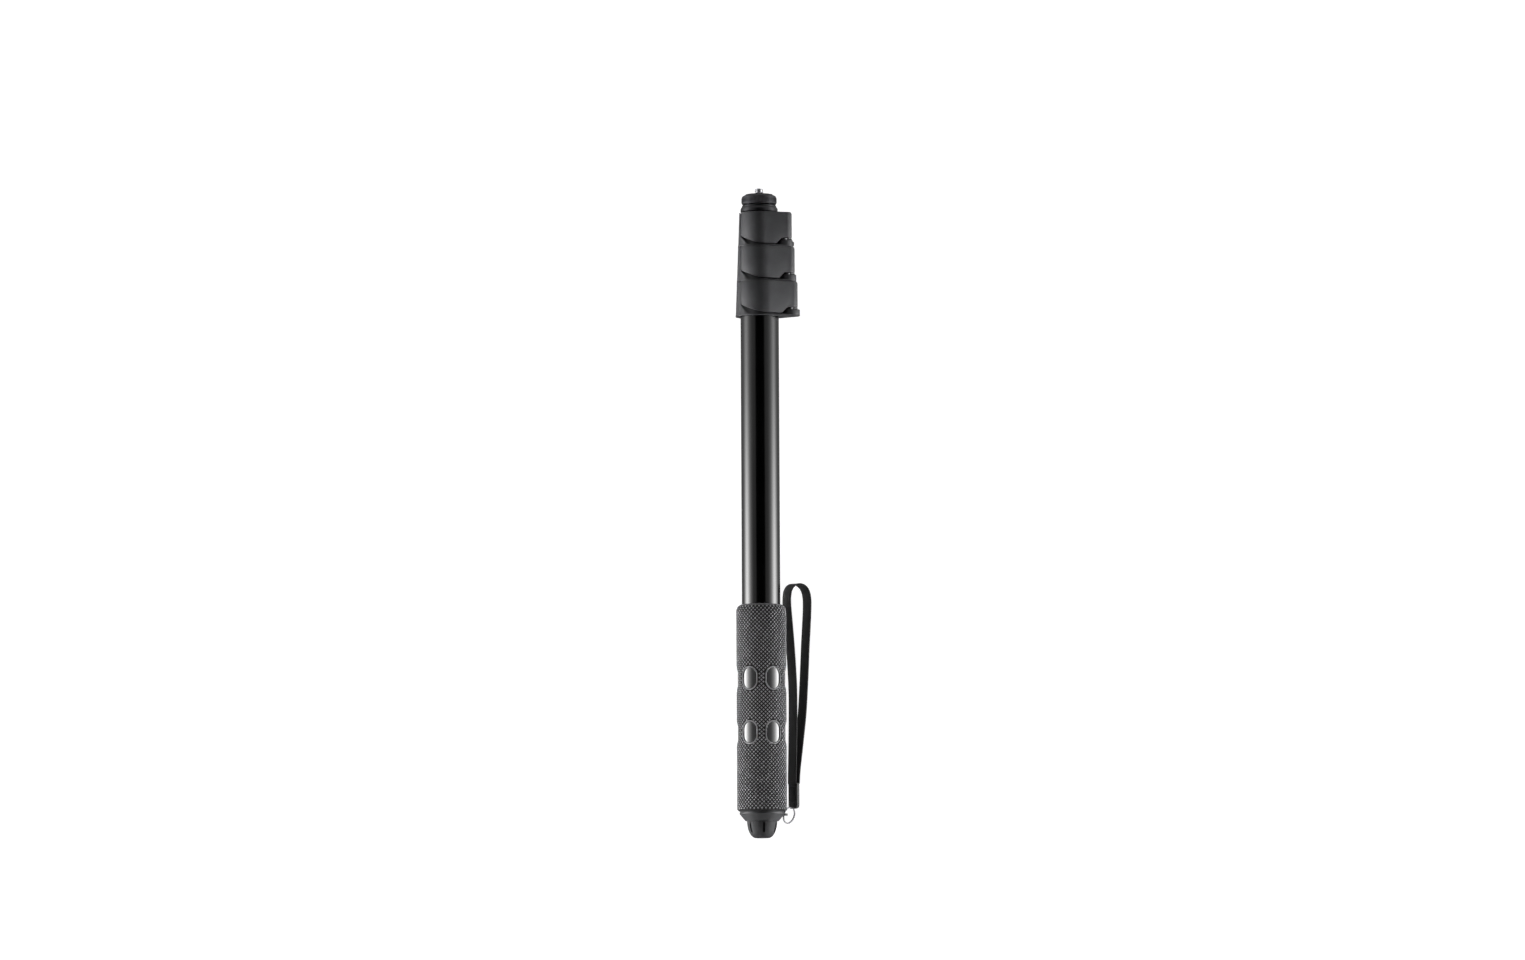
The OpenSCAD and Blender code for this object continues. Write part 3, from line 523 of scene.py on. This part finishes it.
def makeStitches():
    bm = bmesh.new()
    left, right = -tab["width"] / 2 + tab["inset"], tab["width"] / 2 - tab["inset"]
    low, high = tab["rows"]
    count = int((high - low) / tab["stitchLong"])
    spots = []
    for i in range(count):
        y = low + (i + 0.5) * (high - low) / count
        spots += [(left, y, 0), (right, y, 0)]
    wide = int((right - left) / tab["stitchLong"])
    for i in range(wide):
        x = left + (i + 0.5) * (right - left) / wide
        spots += [(x, low, 90), (x, high, 90)]
    size = (tab["stitchWide"] * mm, tab["stitchLong"] * tab["stitchFill"] * mm, tab["stitchTall"] * mm)
    # local x across the tab, y along it, z out of its face
    basis = Matrix((strapUp, Vector((0, 1, 0)), tabOut)).transposed()
    for x, y, turn in spots:
        spin = Matrix.Rotation(math.radians(turn + tab["stitchLean"]), 3, "Z")
        for side in (-1, 1):
            made = bmesh.ops.create_cube(bm, size=1.0)["verts"]
            bmesh.ops.scale(bm, verts=made, vec=size)
            edges = list({e for v in made for e in v.link_edges})
            rounded = bmesh.ops.bevel(bm, geom=edges, offset=tab["stitchRound"] * mm,
                                      segments=tab["stitchSteps"], profile=0.5, affect="EDGES", material=-1)
            verts = list({v for f in rounded["faces"] for v in f.verts} | {v for v in made if v.is_valid})
            bmesh.ops.transform(bm, verts=verts, matrix=(basis @ spin).to_4x4())
            out = side * (tab["thick"] / 2 + tab["stitchOut"])
            bmesh.ops.translate(bm, verts=verts, vec=tabPlace(x, y, out))
    return finishPiece(bm, "tabStitches", waxedThread, "strap")


tabPiece = makeTab()
stitchPiece = makeStitches()
print("tab and stitches made")

# split ring: two close turns of spring wire, its ends stepping over each other
ring = {
    "middle": 6.0, "wide": 1.0, "tall": 0.56, "sides": 10, "square": 0.7,
    "turns": 2.05, "steps": 44, "start": 2.2, "climbFrom": 0.95, "climbOver": 0.16, "spacing": 1.02,
    "dip": 52, "out": 20, "slip": 10, "eyeletR": 17.5, "eyeletAngle": 25, "eyeletY": 17.4,
}


def ringFrame():
    dip, out, slip = (math.radians(ring[k]) for k in ("dip", "out", "slip"))
    across = Vector((math.cos(dip) * math.cos(out), -math.cos(dip) * math.sin(out), -math.sin(dip)))
    along = Vector((math.sin(out), math.cos(out), 0))
    a = math.radians(ring["eyeletAngle"])
    eyelet = Vector((ring["eyeletR"] * math.cos(a), ring["eyeletY"], -ring["eyeletR"] * math.sin(a)))
    middle = eyelet + ring["middle"] * (math.cos(slip) * across + math.sin(slip) * along)
    return middle, across, along


# bends a circle's sine or cosine towards a rounded square
def squared(value):
    return math.copysign(abs(value) ** ring["square"], value)


def makeRing():
    middle, across, along = ringFrame()
    axis = across.cross(along)
    total = int(ring["turns"] * ring["steps"])
    rings = []
    for i in range(total + 1):
        turn = i / ring["steps"]
        angle = 2 * math.pi * turn + ring["start"]
        # the wire steps from the lower turn to the upper one over a sixth of a turn
        climb = min(max((turn - ring["climbFrom"]) / ring["climbOver"], 0), 1)
        climb = climb * climb * (3 - 2 * climb)
        level = (climb - 0.5) * ring["tall"] * ring["spacing"]
        outward = across * math.cos(angle) + along * math.sin(angle)
        spot = middle + outward * ring["middle"] + axis * level
        shape = []
        for k in range(ring["sides"]):
            b = 2 * math.pi * k / ring["sides"]
            u = squared(math.cos(b)) * ring["wide"] / 2
            v = squared(math.sin(b)) * ring["tall"] / 2
            shape.append((spot + outward * u + axis * v) * mm)
        rings.append(shape)
    bm = bmesh.new()
    sweepRings(bm, rings)
    piece = finishPiece(bm, "splitRing", nickelWire, "strap")
    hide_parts("split_ring")
    return piece


ringPiece = makeRing()
print("split ring made")

# camera screw: quarter-inch thread, twenty to the inch, on its plain shank
thread = {
    "major": 3.175, "minor": 2.55, "pitch": 1.27, "low": 470.0, "high": 474.7, "chamfer": 0.4, "steps": 32,
    "flankFrom": 0.12, "crestFrom": 0.5, "crestTo": 0.62,  # shares of the pitch
    "shank": 3.0, "shankLow": 451.2, "shankOver": 0.2,
    "coreFrom": 0.3, "coreOut": 0.01, "coreSteps": 40, "tipIn": 0.45, "merge": 0.002, "cut": 0.001,
}


def makeScrew():
    bm = bmesh.new()
    low, high, minor, major, shank = (thread[k] for k in ("low", "high", "minor", "major", "shank"))
    turns = (high - low) / thread["pitch"]
    rise = thread["pitch"] / thread["steps"]
    profile = [(minor, 0.0), (minor, thread["flankFrom"]), (major, thread["crestFrom"]),
               (major, thread["crestTo"]), (minor, 1.0)]
    verts = [bm.verts.new(Vector((r, low + t * thread["pitch"], 0)) * mm) for r, t in profile]
    edges = [bm.edges.new((a, b)) for a, b in zip(verts, verts[1:])]
    steps = int(turns * thread["steps"])
    bmesh.ops.spin(bm, geom=verts + edges, cent=(0, 0, 0), axis=(0, 1, 0), dvec=(0, rise * mm, 0),
                   angle=2 * math.pi * steps / thread["steps"], steps=steps,
                   use_merge=False, use_duplicate=False)
    bmesh.ops.remove_doubles(bm, verts=bm.verts[:], dist=thread["merge"] * mm)
    # the thread stops at the chamfer
    chamferLow = high - thread["chamfer"]
    bmesh.ops.bisect_plane(bm, geom=bm.verts[:] + bm.edges[:] + bm.faces[:], dist=thread["cut"] * mm,
                           plane_co=(0, chamferLow * mm, 0), plane_no=(0, 1, 0), clear_outer=True)
    # core, shank and chamfered tip turned in one piece
    coreR = minor + thread["coreOut"]
    core = [(0, thread["shankLow"]), (shank, thread["shankLow"]), (shank, low + thread["shankOver"]),
            (coreR, low + thread["coreFrom"]), (coreR, chamferLow), (minor - thread["tipIn"], high),
            (0, high)]
    coreVerts = [bm.verts.new(Vector((r, y, 0)) * mm) for r, y in core]
    coreEdges = [bm.edges.new((a, b)) for a, b in zip(coreVerts, coreVerts[1:])]
    bmesh.ops.spin(bm, geom=coreVerts + coreEdges, cent=(0, 0, 0), axis=(0, 1, 0), dvec=(0, 0, 0),
                   angle=2 * math.pi, steps=thread["coreSteps"], use_merge=True, use_duplicate=False)
    bmesh.ops.remove_doubles(bm, verts=bm.verts[:], dist=thread["merge"] * mm)
    piece = finishPiece(bm, "cameraScrew", screwSteel, "platform", sharpAngle=40)
    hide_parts("camera_screw")


makeScrew()
print("camera screw made")

# platform knurl: straight ridges for the fingers, round the disc's upright face
ridge = {"count": 84, "radius": 12.62, "half": 0.3, "low": 464.1, "high": 467.4}


def makeRidges():
    bm = bmesh.new()
    half = ridge["half"] * mm
    middle = Vector((0, (ridge["low"] + ridge["high"]) / 2, ridge["radius"])) * mm
    upright = Matrix.Rotation(math.radians(90), 4, "X")
    for i in range(ridge["count"]):
        angle = 2 * math.pi * i / ridge["count"]
        # a square bar along the pole, one corner outwards
        place = Matrix.Rotation(angle, 4, "Y") @ Matrix.Translation(middle) @ upright
        bmesh.ops.create_cone(bm, cap_ends=True, cap_tris=False, segments=4, radius1=half, radius2=half,
                              depth=(ridge["high"] - ridge["low"]) * mm, matrix=place)
    finishPiece(bm, "platformKnurl", headAnodised, "platform", sharpAngle=20)


makeRidges()
print("platform knurl made")

# grip knurl: staggered pips that follow the sleeve over its shoulder and stop short of its windows
knurl = {
    "radius": 17.8, "pitch": 2.9, "wide": 1.12, "top": 0.56, "high": 0.5, "sink": 0.08,
    "low": 21.4, "highEnd": 168.4, "shoulderY": 164.5, "shoulderHigh": 5.5, "shoulderWide": 3.72,
    "windowRows": (76.2, 115.6), "windowWide": 11.0, "windowTall": 15.5, "windowCount": 6,
    "windowRim": 1.35,
}


def nearWindow(angle, y):
    wide, straight = knurl["windowWide"] / 2, (knurl["windowTall"] - knurl["windowWide"]) / 2
    step = 2 * math.pi / knurl["windowCount"]
    for row in knurl["windowRows"]:
        off = (angle % step) - step / 2
        u = off * knurl["radius"]
        v = max(abs(y - row) - straight, 0)
        if math.hypot(u, v) < wide + knurl["windowRim"]:
            return True
    return False


# radius of the sleeve at a height, and how far its surface leans over there
def sleeveAt(y):
    rise = min(max((y - knurl["shoulderY"]) / knurl["shoulderHigh"], 0), 1)
    a = math.asin(rise)
    radius = knurl["radius"] - knurl["shoulderWide"] * (1 - math.cos(a))
    lean = math.atan2(math.sin(a) / knurl["shoulderHigh"], math.cos(a) / knurl["shoulderWide"])
    return radius, lean


def makeKnurl():
    bm = bmesh.new()
    unshaded = bm.verts.layers.float.new("unshaded")
    count = round(2 * math.pi * knurl["radius"] / knurl["pitch"])
    rows = int((knurl["highEnd"] - knurl["low"]) / (knurl["pitch"] / 2))
    seat = Matrix.Translation(Vector((0, 0, knurl["high"] / 2 - knurl["sink"])) * mm)
    for row in range(rows + 1):
        y = knurl["low"] + row * knurl["pitch"] / 2
        radius, lean = sleeveAt(y)
        for i in range(count):
            angle = 2 * math.pi * (i + 0.5 * (row % 2)) / count
            if nearWindow(angle, y):
                continue
            # a low four-sided pip, corners along and across the pole, angle 0 on the top side
            place = (Matrix.Rotation(angle, 4, "Y") @ Matrix.Translation(Vector((0, y, radius)) * mm)
                     @ Matrix.Rotation(-lean, 4, "X") @ seat)
            made = bmesh.ops.create_cone(bm, cap_ends=True, cap_tris=False, segments=4,
                                         radius1=knurl["wide"] * mm, radius2=knurl["top"] * mm,
                                         depth=knurl["high"] * mm, matrix=place)["verts"]
            # each pip's top vertices take the rubber's own grey and its base vertices the painted shade
            back = place.inverted()
            for vert in made:
                vert[unshaded] = 1.0 if (back @ vert.co).z > 0 else 0.0
    finishPiece(bm, "gripKnurl", gripRubber, "main_section", sharpAngle=20)


# moulded rims: a low smooth bead round each window
rim = {
    "wide": 1.1, "high": 0.28, "sink": 0.1, "gap": 0.02, "edge": 0.05, "turn": 10, "unshaded": 0.8,
    "edgeHigh": 0.5, "crestAt": 0.35, "slopeAt": 0.7, "slopeHigh": 0.75,  # shares of the width and height
}


def windowOutline(grow):
    r = knurl["windowWide"] / 2 + grow
    half = (knurl["windowTall"] - knurl["windowWide"]) / 2
    points = []
    for start, centre in ((0, half), (180, -half)):
        for i in range(rim["turn"] * 2 + 1):
            a = math.radians(start + 180 * i / (rim["turn"] * 2))
            points.append((r * math.cos(a), centre + r * math.sin(a)))
    return points


def makeRims():
    bm = bmesh.new()
    bead = [(0.0, -rim["sink"]), (rim["edge"], rim["edgeHigh"] * rim["high"]),
            (rim["crestAt"] * rim["wide"], rim["high"]),
            (rim["slopeAt"] * rim["wide"], rim["slopeHigh"] * rim["high"]), (rim["wide"], -rim["sink"])]
    outlines = [windowOutline(grow + rim["gap"]) for grow, _ in bead]
    for row in knurl["windowRows"]:
        for i in range(knurl["windowCount"]):
            middle = 2 * math.pi * (i + 0.5) / knurl["windowCount"]
            rings = []
            for k in range(len(outlines[0])):
                station = []
                for (u, v), (_, high) in zip((o[k] for o in outlines), bead):
                    a = middle + u / knurl["radius"]
                    r = knurl["radius"] + high
                    station.append(Vector((r * math.sin(a), row + v, r * math.cos(a))) * mm)
                rings.append(station)
            sweepRings(bm, rings, closed=True)
    # the rims take mostly the rubber's own grey, with a little painted shade
    unshaded = bm.verts.layers.float.new("unshaded")
    for vert in bm.verts:
        vert[unshaded] = rim["unshaded"]
    finishPiece(bm, "windowRims", gripRubber, "main_section", sharpAngle=60)


makeRims()
makeKnurl()
print("knurl made")

# locks: the CAD shapes with their edges eased as a mould leaves them
eased = {"round": 0.3, "segments": 2, "sharp": 38, "merge": 0.001, "flat": 1.0}


def easedCopy(node, name, body):
    bm = bmesh.new()
    bm.from_mesh(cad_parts[node].data)
    bmesh.ops.remove_doubles(bm, verts=bm.verts[:], dist=eased["merge"] * mm)
    bmesh.ops.dissolve_limit(bm, angle_limit=math.radians(eased["flat"]), verts=bm.verts[:],
                             edges=bm.edges[:], use_dissolve_boundaries=False)
    limit = math.radians(eased["sharp"])
    sharp = [e for e in bm.edges if len(e.link_faces) == 2 and e.calc_face_angle() > limit]
    bmesh.ops.bevel(bm, geom=sharp, offset=eased["round"] * mm, offset_type="OFFSET",
                    segments=eased["segments"], profile=0.5, affect="EDGES", clamp_overlap=True,
                    material=-1)
    piece = finishPiece(bm, name, lockNylon, body, sharpAngle=30)
    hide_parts(node)


lockBodies = {"lower": "main_section", "middle": "second_section", "upper": "third_section"}
for lockName, body in lockBodies.items():
    easedCopy(lockName + "_lock_lever", lockName + "Lever", lockName + "_lever")
    easedCopy(lockName + "_lock_collar", lockName + "Collar", body)
print("locks eased")

# finishes for the CAD pieces that stay as they are
finishes = {
    "foot": footRubber, "foot_stud": zincSteel, "end_cap": capAbs, "cap_plug": capAbs,
    "grip_core": coreAbs, "grip_sleeve": knurlFloorShade,
    "main_tube": tubePaint, "second_tube": tubePaint, "third_tube": tubePaint, "top_tube": tubePaint,
    "second_tube_guide": naturalNylon, "third_tube_guide": naturalNylon, "top_tube_guide": naturalNylon,
    "head_flange": flangeAnodised, "thrust_washer": naturalNylon, "platform_disc": headAnodised,
    "platform_pad": padRubber, "screw_nut": zincSteel,
}
for lockName in lockBodies:
    finishes[lockName + "_lock_pin"] = zincSteel
    finishes[lockName + "_lock_shoe"] = naturalNylon
    finishes[lockName + "_lock_bush"] = naturalNylon
    finishes[lockName + "_lock_screw"] = oxideSteel
for node, material in finishes.items():
    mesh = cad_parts[node].data
    mesh.materials.clear()
    mesh.materials.append(material)
print("finishes set:", len(finishes))

# studio: pale floor, a surround that is dark overhead, low panels that light the rubber
# and cards that show only in the gloss; pairs of levels are for the left and the right
studio = {
    "floorZ": -0.0182, "floorSize": 14.0, "floorTone": "#b4b4b4", "floorLift": 0.92, "middleY": 0.24,
    "mattShare": 0.35,
    "surround": ((0.0, 0.2), (0.19, 0.45), (0.45, 0.9), (0.5, 1.0), (0.75, 0.75), (0.935, 0.4),
                 (0.95, 0.0)),
}
lightPanel = {
    "name": "lightPanel", "gloss": False, "away": 1.1, "low": -0.013, "high": 0.787, "long": 2.4,
    "strong": (88.0, 68.0), "weak": (11.0, 26.0), "strongTo": 0.2, "weakFrom": 0.47,
    "profile": ((0.0, 1.0), (0.05, 0.663), (0.1, 0.43), (0.2, 0.168), (0.3, 0.058), (0.5, 0.004),
                (1.0, 0.0)),
}
glossCard = {
    "name": "glossCard", "gloss": True, "away": 1.1, "low": -0.88, "high": 1.1, "long": 2.4,
    "strong": (15.5, 14.4), "weak": (2.5, 2.3), "strongTo": 0.2, "weakFrom": 0.5,
    "profile": ((0.0, 0.0), (0.186, 0.1), (0.289, 0.4), (0.386, 0.85), (0.464, 1.0), (0.542, 0.8),
                (0.625, 0.43), (0.703, 0.2), (0.792, 0.09), (0.911, 0.02), (1.0, 0.0)),
}


def stagePiece(bm, name, mat):
    mesh = bpy.data.meshes.new(name)
    bm.to_mesh(mesh)
    bm.free()
    mesh.materials.append(mat)
    piece = bpy.data.objects.new(name, mesh)
    scene.collection.objects.link(piece)
    return piece


def greyRamp(node, stops):
    setRamp(node, [(place, (level, level, level, 1)) for place, level in stops])


def makeFloor():
    # paper sweep: takes the shadow, is lifted to white for the eye and doesn't show in the gloss
    mat = bpy.data.materials.new("paperSweep")
    mat.use_nodes = True
    tree = mat.node_tree
    tree.nodes.clear()
    paper = addNode(tree, "ShaderNodeBsdfDiffuse", {"Color": toLinear(studio["floorTone"])})
    rays = addNode(tree, "ShaderNodeLightPath")
    seen = addNode(tree, "ShaderNodeMath", {"operation": "MAXIMUM"},
                   {0: rays.outputs["Is Camera Ray"], 1: rays.outputs["Is Transmission Ray"]})
    lift = addNode(tree, "ShaderNodeMath", {"operation": "MULTIPLY", 1: studio["floorLift"]},
                   {0: seen.outputs["Value"]})
    glow = addNode(tree, "ShaderNodeEmission", {"Color": (1, 1, 1, 1)},
                   {"Strength": lift.outputs["Value"]})
    both = addNode(tree, "ShaderNodeAddShader",
                   links={0: paper.outputs["BSDF"], 1: glow.outputs["Emission"]})
    clear = addNode(tree, "ShaderNodeBsdfTransparent")
    mixed = addNode(tree, "ShaderNodeMixShader",
                    links={0: rays.outputs["Is Glossy Ray"], 1: both.outputs["Shader"],
                           2: clear.outputs["BSDF"]})
    addNode(tree, "ShaderNodeOutputMaterial", links={"Surface": mixed.outputs["Shader"]})
    bm = bmesh.new()
    bmesh.ops.create_grid(bm, x_segments=2, y_segments=2, size=studio["floorSize"] / 2)
    bmesh.ops.translate(bm, verts=bm.verts[:], vec=(0, studio["middleY"], studio["floorZ"]))
    stagePiece(bm, "paleFloor", mat)


def makePanel(look, side):
    # diffusion cloth over lamps: its profile runs upwards, and it fades towards the pole's head
    # side 0 is the left, side 1 the right
    mat = bpy.data.materials.new("diffusionCloth")
    mat.use_nodes = True
    tree = mat.node_tree
    tree.nodes.clear()
    coords = addNode(tree, "ShaderNodeTexCoord")
    split = addNode(tree, "ShaderNodeSeparateXYZ", links={"Vector": coords.outputs["Object"]})
    fade = addNode(tree, "ShaderNodeMapRange",
                   {"interpolation_type": "SMOOTHSTEP",
                    "From Min": look["strongTo"], "From Max": look["weakFrom"],
                    "To Min": look["strong"][side], "To Max": look["weak"][side]},
                   {"Value": split.outputs["Y"]})
    high = addNode(tree, "ShaderNodeMapRange", {"From Min": look["low"], "From Max": look["high"]},
                   {"Value": split.outputs["Z"]})
    shape = addNode(tree, "ShaderNodeValToRGB", links={"Fac": high.outputs["Result"]})
    greyRamp(shape, look["profile"])
    level = addNode(tree, "ShaderNodeMath", {"operation": "MULTIPLY"},
                    {0: fade.outputs["Result"], 1: shape.outputs["Color"]})
    glow = addNode(tree, "ShaderNodeEmission", {"Color": (1, 1, 1, 1)},
                   {"Strength": level.outputs["Value"]})
    clear = addNode(tree, "ShaderNodeBsdfTransparent")
    both = addNode(tree, "ShaderNodeAddShader",
                   links={0: clear.outputs["BSDF"], 1: glow.outputs["Emission"]})
    addNode(tree, "ShaderNodeOutputMaterial", links={"Surface": both.outputs["Shader"]})
    bm = bmesh.new()
    bmesh.ops.create_grid(bm, x_segments=1, y_segments=1, size=0.5)
    bmesh.ops.scale(bm, verts=bm.verts[:], vec=(look["high"] - look["low"], look["long"], 1))
    upright = Matrix.Rotation(math.radians(90), 3, "Y")
    bmesh.ops.rotate(bm, verts=bm.verts[:], cent=(0, 0, 0), matrix=upright)
    middle = (look["away"] * (2 * side - 1), studio["middleY"], (look["low"] + look["high"]) / 2)
    bmesh.ops.translate(bm, verts=bm.verts[:], vec=middle)
    panel = stagePiece(bm, look["name"], mat)
    panel.visible_camera = False
    panel.visible_shadow = False
    panel.visible_glossy = look["gloss"]
    panel.visible_diffuse = not look["gloss"]


def makeSurround():
    world = bpy.data.worlds.new("studioSurround")
    world.use_nodes = True
    scene.world = world
    tree = world.node_tree
    tree.nodes.clear()
    coords = addNode(tree, "ShaderNodeTexCoord")
    split = addNode(tree, "ShaderNodeSeparateXYZ", links={"Vector": coords.outputs["Generated"]})
    high = addNode(tree, "ShaderNodeMapRange", {"From Min": -1.0, "From Max": 1.0},
                   {"Value": split.outputs["Z"]})
    tone = addNode(tree, "ShaderNodeValToRGB", links={"Fac": high.outputs["Result"]})
    greyRamp(tone, studio["surround"])
    # matt surfaces get only a share of it
    rays = addNode(tree, "ShaderNodeLightPath")
    seen = addNode(tree, "ShaderNodeMath", {"operation": "MAXIMUM"},
                   {0: rays.outputs["Is Camera Ray"], 1: rays.outputs["Is Glossy Ray"]})
    share = addNode(tree, "ShaderNodeMapRange", {"To Min": studio["mattShare"], "To Max": 1.0},
                    {"Value": seen.outputs["Value"]})
    sky = addNode(tree, "ShaderNodeBackground",
                  links={"Color": tone.outputs["Color"], "Strength": share.outputs["Result"]})
    addNode(tree, "ShaderNodeOutputWorld", links={"Surface": sky.outputs["Background"]})


makeFloor()
for look in (lightPanel, glossCard):
    for side in (0, 1):
        makePanel(look, side)
makeSurround()
print("studio lit")
